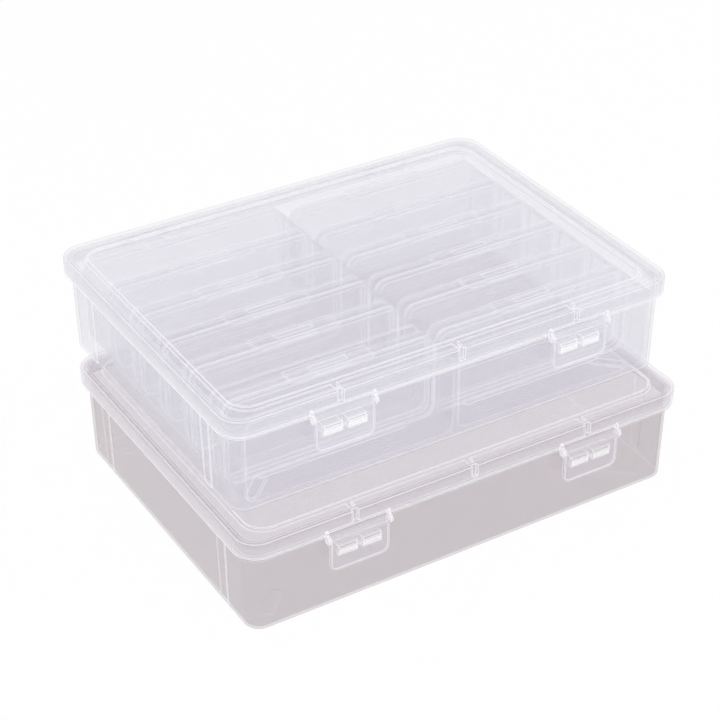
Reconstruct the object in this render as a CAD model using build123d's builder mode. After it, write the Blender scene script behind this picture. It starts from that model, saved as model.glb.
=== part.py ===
"""Two stacked storage boxes with hinged lids, the upper one holding twelve snap cases.

Millimetres. X runs along the front from left to right, Y from front to back, Z up.
The origin is the middle of the lower box's base, on the plane it rests on.
"""
from build123d import *
from math import atan, degrees
import os

# Outer box, shared by both boxes
box_width = 340.0
box_depth = 252.0
box_height = 73.5
corner_radius = 17.0
wall = 1.8
floor_thickness = 2.0
base_inset = 5.8
rim_inset = 4.5
base_round = 3.0

# Lid
skirt_height = 12.25
lid_edge_round = 1.6
panel_inset = 13.5
panel_radius = 14.0
panel_recess = 1.5
ledge_rib_offset = 90.0
ledge_rib_width = 4.0
ledge_rib_gap = 0.4

# Flange round the tub, under the lid's skirt
flange_thickness = 1.6
flange_inset = 1.0
skirt_gap = 0.45

# Rear hinge
hinge_offset = 100.0
hinge_radius = 3.6
hinge_gap = 0.4
hinge_knuckle = 22.0
hinge_ear = 6.0
hinge_pin_radius = 1.8
side_gap = 0.4
pin_gap = 0.1

# Front latches and the catch lugs that stand through their windows
latch_offset = 90.0
latch_width = 43.2
latch_barrel_radius = 3.0
latch_out = 2.0
latch_pivot_drop = 14.0
latch_thickness = 1.8
latch_length = 25.0
latch_corner = 5.5
latch_pin_radius = 1.2
latch_ear = 1.5
latch_ear_rise = 2.0
latch_notch_gap = 0.8
latch_rim_width = 1.2
latch_rim_height = 0.5
latch_dimple_radius = 1.1
latch_dimple_depth = 0.8
lug_width = 13.2
lug_between = 4.4
lug_height = 6.2
lug_slope = 1.4
lug_above_latch_end = 11.5
lug_proud = 0.6
lug_ridges = 3
lug_groove_height = 0.8
lug_groove_depth = 0.5
window_side_gap = 0.5
window_end_gap = 0.5

# Side ribs and foot pockets of the tub
rib_width = 9.0
rib_proud = 0.9
rib_from_edge = 41.5
foot_length = 28.0
foot_width = 9.0
foot_depth = 0.6
foot_step = 1.3
foot_step_depth = 0.6
foot_from_side = 31.5
foot_from_front = 27.5

# Snap cases standing on edge in the upper box
case_rows = 6
case_gap = 0.4
column_gap = 0.6
cases_side_play = 9.4
cases_depth_play = 13.6
case_headroom = 2.8
case_radius = 9.0
case_wall = 1.4
case_lid_depth = 9.5
case_draft = 1.2
case_edge = 1.2
lip_depth = 3.0
lip_wall = 1.0
lip_gap = 0.2
tongue_width = 61.0
tongue_length = 15.0
tongue_setback = 0.6
tongue_height = 1.8
tongue_air = 0.7
tongue_radius = 4.0
window_width = 27.0
window_length = 4.6
window_from_back = 3.3
window_depth = 0.9
catch_width = 27.0
catch_height = 0.5
catch_length = 1.4
strap_length = 110.0
strap_reach = 4.0
strap_thickness = 0.6
cases_to_right = 1.2
front_gap = 1.6
left_column_back = (-0.6, 6.2, 6.2, 6.2, 8.6, 9.2)

# How the upper box stands on the lower one
stack_right = 5.5
stack_back = 26.0

# Places that several pieces share
tub_height = box_height - wall
skirt_bottom = box_height - skirt_height
flange_top = skirt_bottom - skirt_gap
side_slope = (base_inset - rim_inset) / tub_height
side_taper = degrees(atan(side_slope))
hinge_y = box_depth / 2 + hinge_radius + hinge_gap
hinge_z = skirt_bottom
latch_y = -box_depth / 2 - latch_out
latch_z = box_height - latch_pivot_drop
latch_notch_top = latch_z + latch_barrel_radius + latch_notch_gap
latch_bottom = latch_z - latch_length
plate_front = latch_y - latch_thickness / 2
lug_bottom = latch_bottom + lug_above_latch_end
lug_tip = plate_front - lug_proud
inside_width = box_width - 2 * (base_inset + wall)
inside_depth = box_depth - 2 * (base_inset + wall)
panel_bottom = box_height - panel_recess - wall
column_pitch = (inside_width - cases_side_play) / 2
case_width = column_pitch - column_gap
row_pitch = (inside_depth - cases_depth_play) / case_rows
case_thickness = row_pitch - case_gap
case_height = panel_bottom - floor_thickness - case_headroom - tongue_height
case_parting = case_thickness - case_lid_depth


def wall_inset(height):
    """Return how far the tub's outer wall stands inside the lid's edge at a height."""
    return base_inset - height * side_slope


def level(seat, x, y, z):
    """Return a level plane at a place counted from the seat."""
    return Plane(seat.from_local_coords((x, y, z)))


def facing_front(seat, x, y, z):
    """Return an upright plane whose normal points to the front."""
    return Plane(seat.from_local_coords((x, y, z)), x_dir=(1, 0, 0), z_dir=(0, -1, 0))


def facing_back(seat, x, y, z):
    """Return an upright plane whose normal points to the back."""
    return Plane(seat.from_local_coords((x, y, z)), x_dir=(-1, 0, 0), z_dir=(0, 1, 0))


def facing_right(seat, x):
    """Return an upright plane whose normal points to the right, drawn in Y and Z."""
    return Plane(seat.from_local_coords((x, 0, 0)), x_dir=(0, 1, 0), z_dir=(1, 0, 0))


def box_outline(inset, radius):
    """Draw the box's outline, drawn in by inset, in the current sketch."""
    RectangleRounded(box_width - 2 * inset, box_depth - 2 * inset, radius)


def case_outline(inset, mode=Mode.ADD):
    """Draw the upright outline of a snap case, drawn in by inset, in the current sketch."""
    width = case_width - 2 * inset
    RectangleRounded(width, case_height - 2 * inset, case_radius - inset, mode=mode)


def span(low_y, high_y, low_z, high_z):
    """Draw a rectangle between two heights and two depths in the current sketch."""
    with Locations(((low_y + high_y) / 2, (low_z + high_z) / 2)):
        Rectangle(high_y - low_y, high_z - low_z)


def make_tub(seat):
    """Open tub with its flange, hinge ears, catch lugs, side ribs and foot pockets."""
    with BuildPart() as tub:
        with BuildSketch(seat):
            box_outline(base_inset, corner_radius - base_inset)
        extrude(amount=tub_height, taper=-side_taper)
        fillet(tub.faces().sort_by(Axis.Z)[0].edges(), base_round)

        # Vertical ribs on both end walls, leaning with the wall
        rib_bottom = base_round + 1
        rib_x = box_width / 2 - wall_inset(rib_bottom) - wall
        rib_y = box_depth / 2 - rib_from_edge
        with BuildSketch(seat.offset(rib_bottom)):
            with GridLocations(2 * rib_x, 2 * rib_y, 2, 2):
                Rectangle(2 * (wall + rib_proud), rib_width)
        extrude(amount=flange_top - flange_thickness - rib_bottom, taper=-side_taper)

        # Flange that the lid's skirt comes down to
        with BuildSketch(seat.offset(flange_top - flange_thickness)):
            box_outline(flange_inset, corner_radius - flange_inset)
        extrude(amount=flange_thickness)

        # Catch lugs on the front wall, grooved across their noses
        lug_root = -box_depth / 2 + wall_inset(lug_bottom) + wall / 2
        lug_top = lug_bottom + lug_height
        groove_pitch = (lug_height - lug_slope) / lug_ridges
        for side in (-1, 1):
            for half in (-1, 1):
                lug_x = side * latch_offset + half * (lug_between + lug_width) / 2
                with BuildSketch(facing_right(seat, lug_x)):
                    with BuildLine():
                        Polyline(
                            (lug_root, lug_bottom),
                            (lug_tip, lug_bottom),
                            (lug_tip, lug_top - lug_slope),
                            (lug_tip + lug_slope, lug_top),
                            (lug_root, lug_top),
                            close=True,
                        )
                    make_face()
                    for ridge in range(1, lug_ridges):
                        with Locations((lug_tip, lug_bottom + ridge * groove_pitch)):
                            Rectangle(2 * lug_groove_depth, lug_groove_height, mode=Mode.SUBTRACT)
                extrude(amount=lug_width / 2, both=True)

        # Ears that carry the hinge, each on a web from the wall
        ear_root = box_depth / 2 - wall_inset(hinge_z) - wall / 2
        ear_offset = (hinge_knuckle + hinge_ear) / 2 + side_gap
        for side in (-1, 1):
            for end in (-1, 1):
                ear_x = side * hinge_offset + end * ear_offset
                with BuildSketch(facing_right(seat, ear_x)):
                    with Locations((hinge_y, hinge_z)):
                        Circle(hinge_radius)
                    span(ear_root, hinge_y, hinge_z - hinge_radius, flange_top)
                    with Locations((hinge_y, hinge_z)):
                        Circle(hinge_pin_radius + pin_gap, mode=Mode.SUBTRACT)
                extrude(amount=hinge_ear / 2, both=True)

        # Gaps in the flange that let the latches swing and lift clear
        with BuildSketch(seat.offset(flange_top - flange_thickness)):
            for side in (-1, 1):
                with Locations((side * latch_offset, -box_depth / 2)):
                    Rectangle(latch_width + 2 * (latch_ear + side_gap + 1), 2 * rim_inset)
        extrude(amount=flange_thickness, mode=Mode.SUBTRACT)

        # Inside of the tub
        with BuildSketch(seat.offset(floor_thickness)):
            inside = wall_inset(floor_thickness) + wall
            box_outline(inside, corner_radius - inside)
        extrude(amount=tub_height - floor_thickness, taper=-side_taper, mode=Mode.SUBTRACT)

        # Stepped foot pockets under the base, one pointing into each corner
        for step, depth in ((0, foot_depth), (foot_step, foot_depth + foot_step_depth)):
            with BuildSketch(seat):
                for side in (-1, 1):
                    for end in (-1, 1):
                        foot_x = side * (box_width / 2 - foot_from_side)
                        foot_y = end * (box_depth / 2 - foot_from_front)
                        length = foot_length - 2 * step
                        with Locations((foot_x, foot_y)):
                            SlotOverall(length, foot_width - 2 * step, rotation=45 * side * end)
            extrude(amount=depth, mode=Mode.SUBTRACT)
    return tub


def make_lid(seat):
    """Lid with its skirt, ledge, sunken panel, rear knuckles and front latch ears."""
    with BuildPart() as lid:
        with BuildSketch(seat.offset(skirt_bottom)):
            box_outline(0, corner_radius)
        extrude(amount=skirt_height)
        fillet(lid.faces().sort_by(Axis.Z)[-1].edges(), lid_edge_round)
        with BuildSketch(seat.offset(skirt_bottom)):
            box_outline(wall, corner_radius - wall)
        extrude(amount=skirt_height - wall, mode=Mode.SUBTRACT)

        # Sunken panel inside the ledge
        with BuildSketch(seat.offset(panel_bottom)):
            box_outline(panel_inset - wall, panel_radius + wall)
        extrude(amount=panel_recess)
        with BuildSketch(seat.offset(box_height - panel_recess)):
            box_outline(panel_inset, panel_radius)
        extrude(amount=panel_recess, mode=Mode.SUBTRACT)

        # Ribs under the front ledge, parted where the tub's rim comes up
        front = -box_depth / 2
        for rib_x in (-ledge_rib_offset, 0, ledge_rib_offset):
            with BuildSketch(facing_right(seat, rib_x)):
                outer_end = front + rim_inset - ledge_rib_gap
                span(front + wall / 2, outer_end, latch_notch_top, box_height - wall / 2)
                inner_end = front + rim_inset + wall + ledge_rib_gap
                span(inner_end, front + panel_inset, panel_bottom, box_height - wall / 2)
            extrude(amount=ledge_rib_width / 2, both=True)

        # Latch notches in the skirt, and an ear at each end of a notch
        for side in (-1, 1):
            latch_x = side * latch_offset
            with BuildSketch(facing_right(seat, latch_x)):
                span(front - 1, front + wall + 1, skirt_bottom, latch_notch_top)
            extrude(amount=latch_width / 2 + side_gap, both=True, mode=Mode.SUBTRACT)
            for end in (-1, 1):
                ear_x = latch_x + end * (latch_width / 2 + side_gap + latch_ear / 2)
                with BuildSketch(facing_right(seat, ear_x)):
                    with Locations((latch_y, latch_z)):
                        Circle(latch_barrel_radius)
                    ear_top = latch_notch_top + latch_ear_rise
                    span(latch_y, front + wall / 2, latch_z, ear_top)
                extrude(amount=latch_ear / 2, both=True)
                with BuildSketch(facing_right(seat, ear_x)):
                    with Locations((latch_y, latch_z)):
                        Circle(latch_pin_radius + pin_gap)
                extrude(amount=latch_ear / 2, both=True, mode=Mode.SUBTRACT)

        # Rear knuckles with their moulded pins
        knuckle_root = box_depth / 2 - wall / 2
        for side in (-1, 1):
            with BuildSketch(facing_right(seat, side * hinge_offset)):
                with Locations((hinge_y, hinge_z)):
                    Circle(hinge_radius)
                span(knuckle_root, hinge_y, hinge_z, hinge_z + hinge_radius)
            extrude(amount=hinge_knuckle / 2, both=True)
            with BuildSketch(facing_right(seat, side * hinge_offset)):
                with Locations((hinge_y, hinge_z)):
                    Circle(hinge_pin_radius)
            extrude(amount=hinge_knuckle / 2 + side_gap + hinge_ear, both=True)
    return lid


def plate_outline(inset, mode=Mode.ADD):
    """Draw a latch plate, drawn in by inset and round at the bottom, in the current sketch."""
    width = latch_width - 2 * inset
    bottom = latch_bottom + inset
    middle = (latch_z + bottom) / 2
    with Locations((0, middle)):
        RectangleRounded(width, latch_z - bottom, latch_corner - inset, mode=mode)
    with Locations((0, (latch_z + middle) / 2)):
        Rectangle(width, latch_z - middle, mode=mode)


def make_latch(seat, latch_x):
    """Swing latch: barrel with end pins, and a rimmed plate with a window for each lug."""
    plate_back = plate_front + latch_thickness
    window_middle = lug_bottom + lug_height / 2
    with BuildPart() as latch:
        with BuildSketch(facing_right(seat, latch_x)):
            with Locations((latch_y, latch_z)):
                Circle(latch_barrel_radius)
        extrude(amount=latch_width / 2, both=True)
        with BuildSketch(facing_right(seat, latch_x)):
            with Locations((latch_y, latch_z)):
                Circle(latch_pin_radius)
        extrude(amount=latch_width / 2 + side_gap + latch_ear, both=True)

        # Plate with a raised rim along its sides and bottom
        with BuildSketch(facing_front(seat, latch_x, plate_back, 0)):
            plate_outline(0)
        extrude(amount=latch_thickness)
        with BuildSketch(facing_front(seat, latch_x, plate_front, 0)):
            plate_outline(0)
            plate_outline(latch_rim_width, Mode.SUBTRACT)
        extrude(amount=latch_rim_height)

        # Windows for the lugs, and a round dimple on the bar between them
        with BuildSketch(facing_front(seat, latch_x, plate_back, 0)):
            with Locations((0, window_middle)):
                with GridLocations(lug_between + lug_width, 1, 2, 1):
                    Rectangle(lug_width + 2 * window_side_gap, lug_height + 2 * window_end_gap)
        extrude(amount=latch_thickness, mode=Mode.SUBTRACT)
        dimple_floor = plate_front + latch_dimple_depth
        with BuildSketch(facing_front(seat, latch_x, dimple_floor, 0)):
            with Locations((0, window_middle)):
                Circle(latch_dimple_radius)
        extrude(amount=latch_dimple_depth, mode=Mode.SUBTRACT)
    return latch


def make_case_base(seat):
    """Deep half of a snap case, open to the back, with its lip, catch and strap groove."""
    middle = case_height / 2
    with BuildPart() as base:
        with BuildSketch(facing_front(seat, 0, case_parting, middle)):
            case_outline(0)
        extrude(amount=case_parting, taper=case_draft)
        chamfer(base.faces().sort_by(Axis.Y)[0].edges(), case_edge)
        with BuildSketch(facing_front(seat, 0, case_parting, middle)):
            case_outline(case_wall)
        extrude(amount=case_parting - case_wall, taper=case_draft, mode=Mode.SUBTRACT)

        # Lip that enters the lid, carried on a band inside the wall
        lip_inset = case_wall + lip_gap
        with BuildSketch(facing_front(seat, 0, case_parting, middle)):
            case_outline(case_wall / 2)
            case_outline(lip_inset + lip_wall, Mode.SUBTRACT)
        extrude(amount=lip_depth)
        with BuildSketch(facing_back(seat, 0, case_parting, middle)):
            case_outline(lip_inset)
            case_outline(lip_inset + lip_wall, Mode.SUBTRACT)
        extrude(amount=lip_depth)

        # Catch under the front of the tongue
        catch_y = case_thickness - tongue_setback - tongue_length + 2 * catch_length
        with BuildSketch(level(seat, 0, catch_y, case_height - case_wall / 2)):
            Rectangle(catch_width, catch_length)
        extrude(amount=case_wall / 2 + catch_height)

        # Groove for the hinge strap
        with BuildSketch(facing_right(seat, 0)):
            span(case_parting - strap_reach - lip_gap, case_parting, -1, strap_thickness)
        extrude(amount=strap_length / 2 + lip_gap, both=True, mode=Mode.SUBTRACT)
    return base


def make_case_lid(seat):
    """Shallow half of a snap case, with the latch tongue above and hinge strap below."""
    middle = case_height / 2
    tongue_back = case_thickness - tongue_setback
    tongue_front = tongue_back - tongue_length
    with BuildPart() as lid:
        with BuildSketch(facing_back(seat, 0, case_parting, middle)):
            case_outline(0)
        extrude(amount=case_lid_depth, taper=case_draft)
        chamfer(lid.faces().sort_by(Axis.Y)[-1].edges(), case_edge)
        with BuildSketch(facing_back(seat, 0, case_parting, middle)):
            case_outline(case_wall)
        extrude(amount=case_lid_depth - case_wall, taper=case_draft, mode=Mode.SUBTRACT)

        # Tongue, raised over the deep half, with a sunk window
        with BuildSketch(level(seat, 0, 0, case_height - case_wall / 2)):
            with Locations((0, (case_parting + lip_gap + tongue_back) / 2)):
                Rectangle(tongue_width, tongue_back - case_parting - lip_gap)
        extrude(amount=case_wall / 2 + tongue_height)
        with BuildSketch(level(seat, 0, 0, case_height + tongue_air)) as tongue:
            with Locations((0, (tongue_front + tongue_back) / 2)):
                Rectangle(tongue_width, tongue_length)
            fillet(tongue.vertices().group_by(Axis.Y)[0], tongue_radius)
        extrude(amount=tongue_height - tongue_air)
        window_y = case_thickness - window_from_back - window_length / 2
        with BuildSketch(level(seat, 0, window_y, case_height + tongue_height - window_depth)):
            Rectangle(window_width, window_length)
        extrude(amount=window_depth, mode=Mode.SUBTRACT)

        # Thin strap that hinges the two halves at the bottom
        with BuildSketch(facing_right(seat, 0)):
            span(case_parting - strap_reach, case_parting + case_wall, 0, strap_thickness)
        extrude(amount=strap_length / 2, both=True)
    return lid


def write_piece(name, piece):
    """Label a finished piece and write it under its own name."""
    piece.part.label = name
    export_step(piece.part, f"parts/{name}.step")


def case_seat(box_seat, column, row):
    """Return the seat of a case: the middle of its front lower edge, on the tub's floor."""
    x = cases_to_right + column * column_pitch / 2
    y = -box_depth / 2 + base_inset + wall + front_gap + row * row_pitch
    if column < 0:
        y += left_column_back[row]
    return level(box_seat, x, y, floor_thickness)


os.makedirs("parts", exist_ok=True)
lower_seat = Plane.XY
upper_seat = level(lower_seat, stack_right, stack_back, box_height)

for box_name, box_seat in (("lower", lower_seat), ("upper", upper_seat)):
    write_piece(f"{box_name}_tub", make_tub(box_seat))
    write_piece(f"{box_name}_lid", make_lid(box_seat))
    for side_name, side in (("left", -1), ("right", 1)):
        write_piece(f"{box_name}_latch_{side_name}", make_latch(box_seat, side * latch_offset))

for column_name, column in (("left", -1), ("right", 1)):
    for row in range(case_rows):
        seat = case_seat(upper_seat, column, row)
        write_piece(f"case_{column_name}_{row + 1}_base", make_case_base(seat))
        write_piece(f"case_{column_name}_{row + 1}_lid", make_case_lid(seat))
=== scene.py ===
from math import cos, radians, sin

import bpy
from mathutils import Matrix, Vector

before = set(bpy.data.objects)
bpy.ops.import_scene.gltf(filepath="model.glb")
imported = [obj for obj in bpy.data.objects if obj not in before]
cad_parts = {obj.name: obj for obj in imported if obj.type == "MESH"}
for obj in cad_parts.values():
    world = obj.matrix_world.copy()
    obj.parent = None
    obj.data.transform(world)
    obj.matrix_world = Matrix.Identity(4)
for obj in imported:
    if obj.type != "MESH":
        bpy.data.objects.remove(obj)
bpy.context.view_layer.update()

# Camera, matched to the straight edges of the photographed boxes
FOCAL_PIXELS = 2020.0
IMAGE_SIZE = 720
SENSOR = 36.0
CAMERA_PLACE = Vector((-0.6093, -0.9899, 0.8362))
CAMERA_YAW = 31.12
CAMERA_PITCH = 32.88
CAMERA_ROLL = -0.27

# Light
WORLD_STRENGTH = 0.95
BACKDROP_WHITE = 0.9

# Edges of the plastic, where light gathers and they look white: a painted highlight in a whiter colour
BOX_EDGE_REACH = 0.0013
CASE_EDGE_REACH = 0.0009
EDGE_SHARPNESS = 9.0
EDGE_HIGHLIGHT_COLOR = (0.99, 0.985, 1.0)

# How much milkier the solid lumps are, and a wall that is seen along its surface
LUG_SHARE = 0.3
BAR_SHARE = 0.08
SKIRT_SHARE = 0.16
ALONG_SHARE = 0.5
ALONG_POWER = 4.0

# Share of the light from outside that the haze sends onwards rather than back
ONWARD_SHARE = 0.94

# Gloss of the moulded surface, facing the eye and at grazing angles
GLOSS_ROUGHNESS = 0.06
GLOSS_FACING = 0.03
GLOSS_GRAZING = 0.4
GLOSS_POWER = 5.0

# Noise scales, per metre: the cloudy haze and the uneven skin
CLOUD_SCALE = 24.0
GRAIN_SCALE = 420.0

# How the upper box stands on the lower one
STACK_BACK = 0.026
STACK_UP = 0.0735

# Places on one box: how far in front of its middle the lugs begin, and heights over its base
LUG_FRONT = 0.1224
LUG_TOP = 0.0587
BARREL_BOTTOM = 0.0564
SKIRT_TOP = 0.0698


def new_material(name):
    """Return an empty node material and its node tree."""
    material = bpy.data.materials.new(name)
    material.use_nodes = True
    material.node_tree.nodes.clear()
    return material, material.node_tree


def add(tree, kind, **values):
    """Add a node and set its inputs by name, with underscores for spaces."""
    node = tree.nodes.new(kind)
    for key, value in values.items():
        node.inputs[key.replace("_", " ")].default_value = value
    return node


def combine(tree, operation, first, second, clamp=False):
    """Add a math node on two sockets or numbers and return its output."""
    node = tree.nodes.new("ShaderNodeMath")
    node.operation = operation
    node.use_clamp = clamp
    for slot, value in ((0, first), (1, second)):
        if isinstance(value, (int, float)):
            node.inputs[slot].default_value = value
        else:
            tree.links.new(value, node.inputs[slot])
    return node.outputs[0]


def sees_backdrop(tree):
    """Return a socket that is 1 for camera, glossy and transmission rays."""
    path = tree.nodes.new("ShaderNodeLightPath")
    seen = combine(tree, "ADD", path.outputs["Is Camera Ray"], path.outputs["Is Glossy Ray"])
    return combine(tree, "ADD", seen, path.outputs["Is Transmission Ray"], clamp=True)


def near_edge(tree, radius, sharpness):
    """Return a socket that rises from 0 to 1 within radius of an edge."""
    bevel = tree.nodes.new("ShaderNodeBevel")
    bevel.samples = 4
    bevel.inputs["Radius"].default_value = radius
    surface = tree.nodes.new("ShaderNodeNewGeometry")
    dot = tree.nodes.new("ShaderNodeVectorMath")
    dot.operation = "DOT_PRODUCT"
    tree.links.new(bevel.outputs["Normal"], dot.inputs[0])
    tree.links.new(surface.outputs["Normal"], dot.inputs[1])
    turned = combine(tree, "SUBTRACT", 1.0, dot.outputs["Value"])
    return combine(tree, "MULTIPLY", turned, sharpness, clamp=True)


def beyond(tree, value, limit, above):
    """Return a socket that is 1 where value is above limit, or below it."""
    return combine(tree, "GREATER_THAN" if above else "LESS_THAN", value, limit)


def make_plastic(name, tint, body, haze, edge, thick=None, reach=BOX_EDGE_REACH):
    """Clear polypropylene: light goes straight through, over a milky share that is painted denser and
    whiter at edges as a highlight.

    thick says how much milkier the solid lumps are: a function from the tree and the X, Y and Z
    sockets to a socket with the share that is added there.
    """
    material, tree = new_material(name)
    links = tree.links
    out = add(tree, "ShaderNodeOutputMaterial")
    coordinates = tree.nodes.new("ShaderNodeTexCoord")
    cloud = add(tree, "ShaderNodeTexNoise", Scale=CLOUD_SCALE, Detail=2.0, Roughness=0.55)
    links.new(coordinates.outputs["Object"], cloud.inputs["Vector"])
    edge_highlight = near_edge(tree, reach, EDGE_SHARPNESS)

    # Milky share: an even haze, a little cloudy, and a painted highlight that makes it far denser along
    # the edges
    uneven = combine(tree, "MULTIPLY_ADD", cloud.outputs["Fac"], haze * 0.5)
    uneven.node.inputs[2].default_value = haze * 0.75
    density = combine(tree, "MULTIPLY_ADD", edge_highlight, edge)
    links.new(uneven, density.node.inputs[2])
    density.node.use_clamp = True
    white = edge_highlight
    if thick:
        axes = tree.nodes.new("ShaderNodeSeparateXYZ")
        links.new(coordinates.outputs["Object"], axes.inputs[0])
        lump = thick(tree, *axes.outputs[0:3])
        density = combine(tree, "ADD", density, lump, clamp=True)
        white = combine(tree, "ADD", edge_highlight, lump, clamp=True)

    # Seen along its surface the wall is a longer way through the haze
    facing = add(tree, "ShaderNodeLayerWeight", Blend=0.5)
    steep = combine(tree, "POWER", facing.outputs["Facing"], ALONG_POWER)
    along = combine(tree, "MULTIPLY", steep, ALONG_SHARE)
    density = combine(tree, "ADD", density, along, clamp=True)

    # Colour: the body colour, painted white along the edges as a highlight, and whiter at the milkier
    # lumps
    color = tree.nodes.new("ShaderNodeMix")
    color.data_type = "RGBA"
    color.inputs[6].default_value = (*body, 1)
    color.inputs[7].default_value = (*EDGE_HIGHLIGHT_COLOR, 1)
    links.new(white, color.inputs[0])
    milky = add(tree, "ShaderNodeBsdfPrincipled", Roughness=0.4)
    milky.inputs["Specular IOR Level"].default_value = 0.3
    links.new(color.outputs[2], milky.inputs["Base Color"])
    clear = add(tree, "ShaderNodeBsdfTransparent", Color=(*tint, 1))
    film = tree.nodes.new("ShaderNodeMixShader")
    links.new(density, film.inputs["Fac"])
    links.new(clear.outputs[0], film.inputs[1])
    links.new(milky.outputs[0], film.inputs[2])

    # Moulded surface: a clear gloss with the faintest unevenness
    grains = add(tree, "ShaderNodeTexNoise", Scale=GRAIN_SCALE, Detail=1.0)
    links.new(coordinates.outputs["Object"], grains.inputs["Vector"])
    bump = add(tree, "ShaderNodeBump", Strength=0.04, Distance=0.0002)
    links.new(grains.outputs["Fac"], bump.inputs["Height"])
    links.new(bump.outputs["Normal"], milky.inputs["Normal"])
    shine = add(tree, "ShaderNodeBsdfGlossy", Color=(1, 1, 1, 1), Roughness=GLOSS_ROUGHNESS)
    links.new(bump.outputs["Normal"], shine.inputs["Normal"])
    grazing = combine(tree, "POWER", facing.outputs["Facing"], GLOSS_POWER)
    share = combine(tree, "MULTIPLY_ADD", grazing, GLOSS_GRAZING)
    share.node.inputs[2].default_value = GLOSS_FACING
    skin = tree.nodes.new("ShaderNodeMixShader")
    links.new(share, skin.inputs["Fac"])
    links.new(film.outputs[0], skin.inputs[1])
    links.new(shine.outputs[0], skin.inputs[2])

    # The haze scatters light onwards more than back, so most light from outside reaches the inside
    path = tree.nodes.new("ShaderNodeLightPath")
    lit = combine(tree, "MAXIMUM", path.outputs["Is Shadow Ray"], path.outputs["Is Diffuse Ray"])
    onward = add(tree, "ShaderNodeBsdfTransparent", Color=(0.995, 0.995, 0.995, 1))
    pass_on = tree.nodes.new("ShaderNodeMixShader")
    links.new(combine(tree, "MULTIPLY", lit, ONWARD_SHARE), pass_on.inputs["Fac"])
    links.new(skin.outputs[0], pass_on.inputs[1])
    links.new(onward.outputs[0], pass_on.inputs[2])
    links.new(pass_on.outputs[0], out.inputs["Surface"])
    return material


def lugs_of(base_y, base_z):
    """Thicken the catch lugs of a tub whose base is at that depth and height."""
    def pick(tree, x, y, z):
        front = beyond(tree, y, base_y - LUG_FRONT, above=False)
        below = beyond(tree, z, base_z + LUG_TOP, above=False)
        return combine(tree, "MULTIPLY", combine(tree, "MULTIPLY", front, below), LUG_SHARE)
    return pick


def bar_of(base_z):
    """Thicken the barrel of a latch whose box stands at that height."""
    def pick(tree, x, y, z):
        return combine(tree, "MULTIPLY", beyond(tree, z, base_z + BARREL_BOTTOM, above=True), BAR_SHARE)
    return pick


def skirt_of(base_z):
    """Thicken the skirt of a lid whose box stands at that height."""
    def pick(tree, x, y, z):
        return combine(tree, "MULTIPLY", beyond(tree, z, base_z + SKIRT_TOP, above=False), SKIRT_SHARE)
    return pick


def dress(node, material):
    """Give a carried CAD node its material."""
    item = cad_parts[node]
    item.data.materials.clear()
    item.data.materials.append(material)


pale = (0.995, 0.993, 0.998)
milk = (0.655, 0.645, 0.71)
# The lower box's tub, lid and latch are darker, greyer copies of the upper box's plastic: painted shade
# of the shadow under and around the lower box, darkest in the tub, through which the shadowed floor is
# seen
lower_tub = make_plastic("lower_tub_shaded_plastic", (0.885, 0.868, 0.877), (0.58, 0.545, 0.565), 0.055, 0.6,
                         lugs_of(0.0, 0.0))
lower_lid = make_plastic("lower_lid_shaded_plastic", (0.965, 0.958, 0.97), (0.72, 0.69, 0.745), 0.07, 0.9,
                         skirt_of(0.0))
upper_tub = make_plastic("upper_tub_plastic", pale, milk, 0.08, 0.7, lugs_of(STACK_BACK, STACK_UP))
upper_lid = make_plastic("upper_lid_plastic", pale, milk, 0.1, 0.9, skirt_of(STACK_UP))
lower_latch = make_plastic("lower_latch_shaded_plastic", (0.96, 0.95, 0.965), (0.67, 0.64, 0.69), 0.22, 0.3,
                           bar_of(0.0))
upper_latch = make_plastic("upper_latch_plastic", pale, (0.68, 0.67, 0.73), 0.2, 0.3, bar_of(STACK_UP))
case_plastic = make_plastic("case_plastic", pale, milk, 0.06, 0.7, reach=CASE_EDGE_REACH)

finishes = {"upper_tub": upper_tub, "upper_lid": upper_lid,
            "lower_tub": lower_tub, "lower_lid": lower_lid}
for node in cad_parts:
    if "latch" in node:
        dress(node, lower_latch if node.startswith("lower") else upper_latch)
    else:
        dress(node, finishes.get(node, case_plastic))


def make_floor():
    """Pale floor that keeps a soft shadow and still reads as white behind the object."""
    bpy.ops.mesh.primitive_plane_add(size=12.0, location=(0, 0, -0.0004))
    floor = bpy.context.object
    floor.name = "floor"
    material, tree = new_material("floor_paper")
    out = add(tree, "ShaderNodeOutputMaterial")
    paper = add(tree, "ShaderNodeBsdfDiffuse", Color=(0.9, 0.9, 0.9, 1))
    glow = add(tree, "ShaderNodeEmission", Color=(1, 1, 1, 1), Strength=1.0)
    share = combine(tree, "MULTIPLY", sees_backdrop(tree), BACKDROP_WHITE)
    mix = tree.nodes.new("ShaderNodeMixShader")
    tree.links.new(share, mix.inputs["Fac"])
    tree.links.new(paper.outputs[0], mix.inputs[1])
    tree.links.new(glow.outputs[0], mix.inputs[2])
    tree.links.new(mix.outputs[0], out.inputs["Surface"])
    floor.data.materials.append(material)


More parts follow.
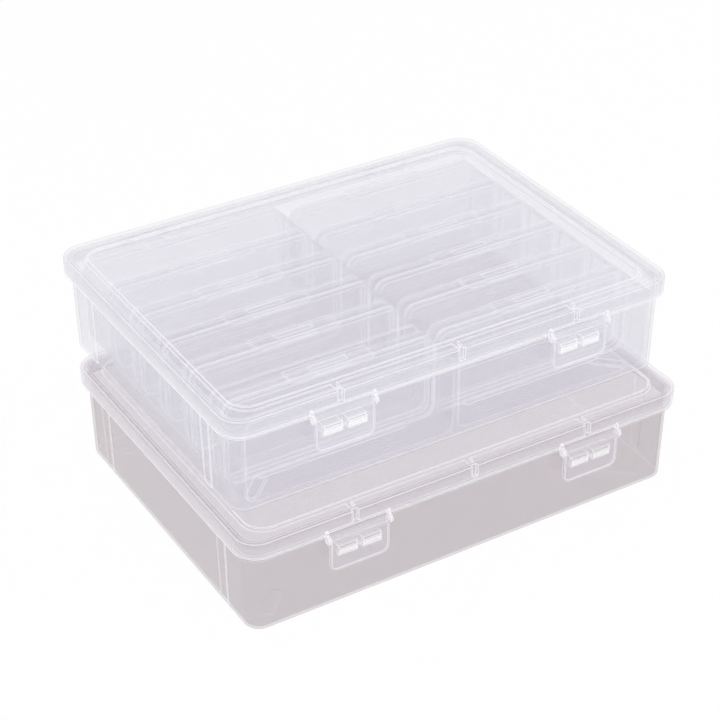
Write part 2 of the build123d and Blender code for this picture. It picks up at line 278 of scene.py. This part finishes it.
def make_world():
    """Even pale light all round, plain white where it is seen."""
    world = bpy.data.worlds.new("studio")
    bpy.context.scene.world = world
    world.use_nodes = True
    tree = world.node_tree
    tree.nodes.clear()
    out = add(tree, "ShaderNodeOutputWorld")
    light = add(tree, "ShaderNodeBackground", Color=(1, 1, 1, 1), Strength=WORLD_STRENGTH)
    seen = add(tree, "ShaderNodeBackground", Color=(1, 1, 1, 1), Strength=1.0)
    mix = tree.nodes.new("ShaderNodeMixShader")
    tree.links.new(sees_backdrop(tree), mix.inputs["Fac"])
    tree.links.new(light.outputs[0], mix.inputs[1])
    tree.links.new(seen.outputs[0], mix.inputs[2])
    tree.links.new(mix.outputs[0], out.inputs["Surface"])


def add_lamp(name, place, aim, size, watts):
    """Add a square soft lamp pointing at aim."""
    data = bpy.data.lights.new(name, "AREA")
    data.size = size
    data.energy = watts
    lamp = bpy.data.objects.new(name, data)
    bpy.context.collection.objects.link(lamp)
    lamp.location = place
    lamp.rotation_euler = (Vector(aim) - Vector(place)).to_track_quat("-Z", "Y").to_euler()


def make_camera():
    """Camera at the photograph's viewing angle."""
    yaw, pitch, roll = (radians(v) for v in (CAMERA_YAW, CAMERA_PITCH, CAMERA_ROLL))
    turn = Matrix(((cos(yaw), -sin(yaw), 0), (sin(yaw), cos(yaw), 0), (0, 0, 1)))
    base = Matrix(((1, 0, 0), (0, 0, -1), (0, 1, 0)))
    tip = Matrix(((1, 0, 0), (0, cos(pitch), -sin(pitch)), (0, sin(pitch), cos(pitch))))
    lean = Matrix(((cos(roll), -sin(roll), 0), (sin(roll), cos(roll), 0), (0, 0, 1)))
    view = lean @ tip @ base @ turn
    right, down, forward = view[0], view[1], view[2]
    data = bpy.data.cameras.new("camera")
    data.sensor_width = SENSOR
    data.lens = SENSOR * FOCAL_PIXELS / IMAGE_SIZE
    data.clip_start = 0.05
    data.clip_end = 30.0
    camera = bpy.data.objects.new("camera", data)
    bpy.context.collection.objects.link(camera)
    columns = Matrix((right, -down, -forward)).transposed()
    camera.matrix_world = Matrix.Translation(CAMERA_PLACE) @ columns.to_4x4()
    bpy.context.scene.camera = camera


make_floor()
make_world()
add_lamp("key", (-1.2, -1.4, 2.2), (0, 0, 0.05), 1.4, 12)
add_lamp("side", (2.2, -0.9, 1.6), (0, 0, 0.05), 1.2, 5)
make_camera()

scene = bpy.context.scene
scene.view_settings.view_transform = "Standard"
scene.cycles.max_bounces = 32
scene.cycles.transmission_bounces = 32
scene.cycles.transparent_max_bounces = 48
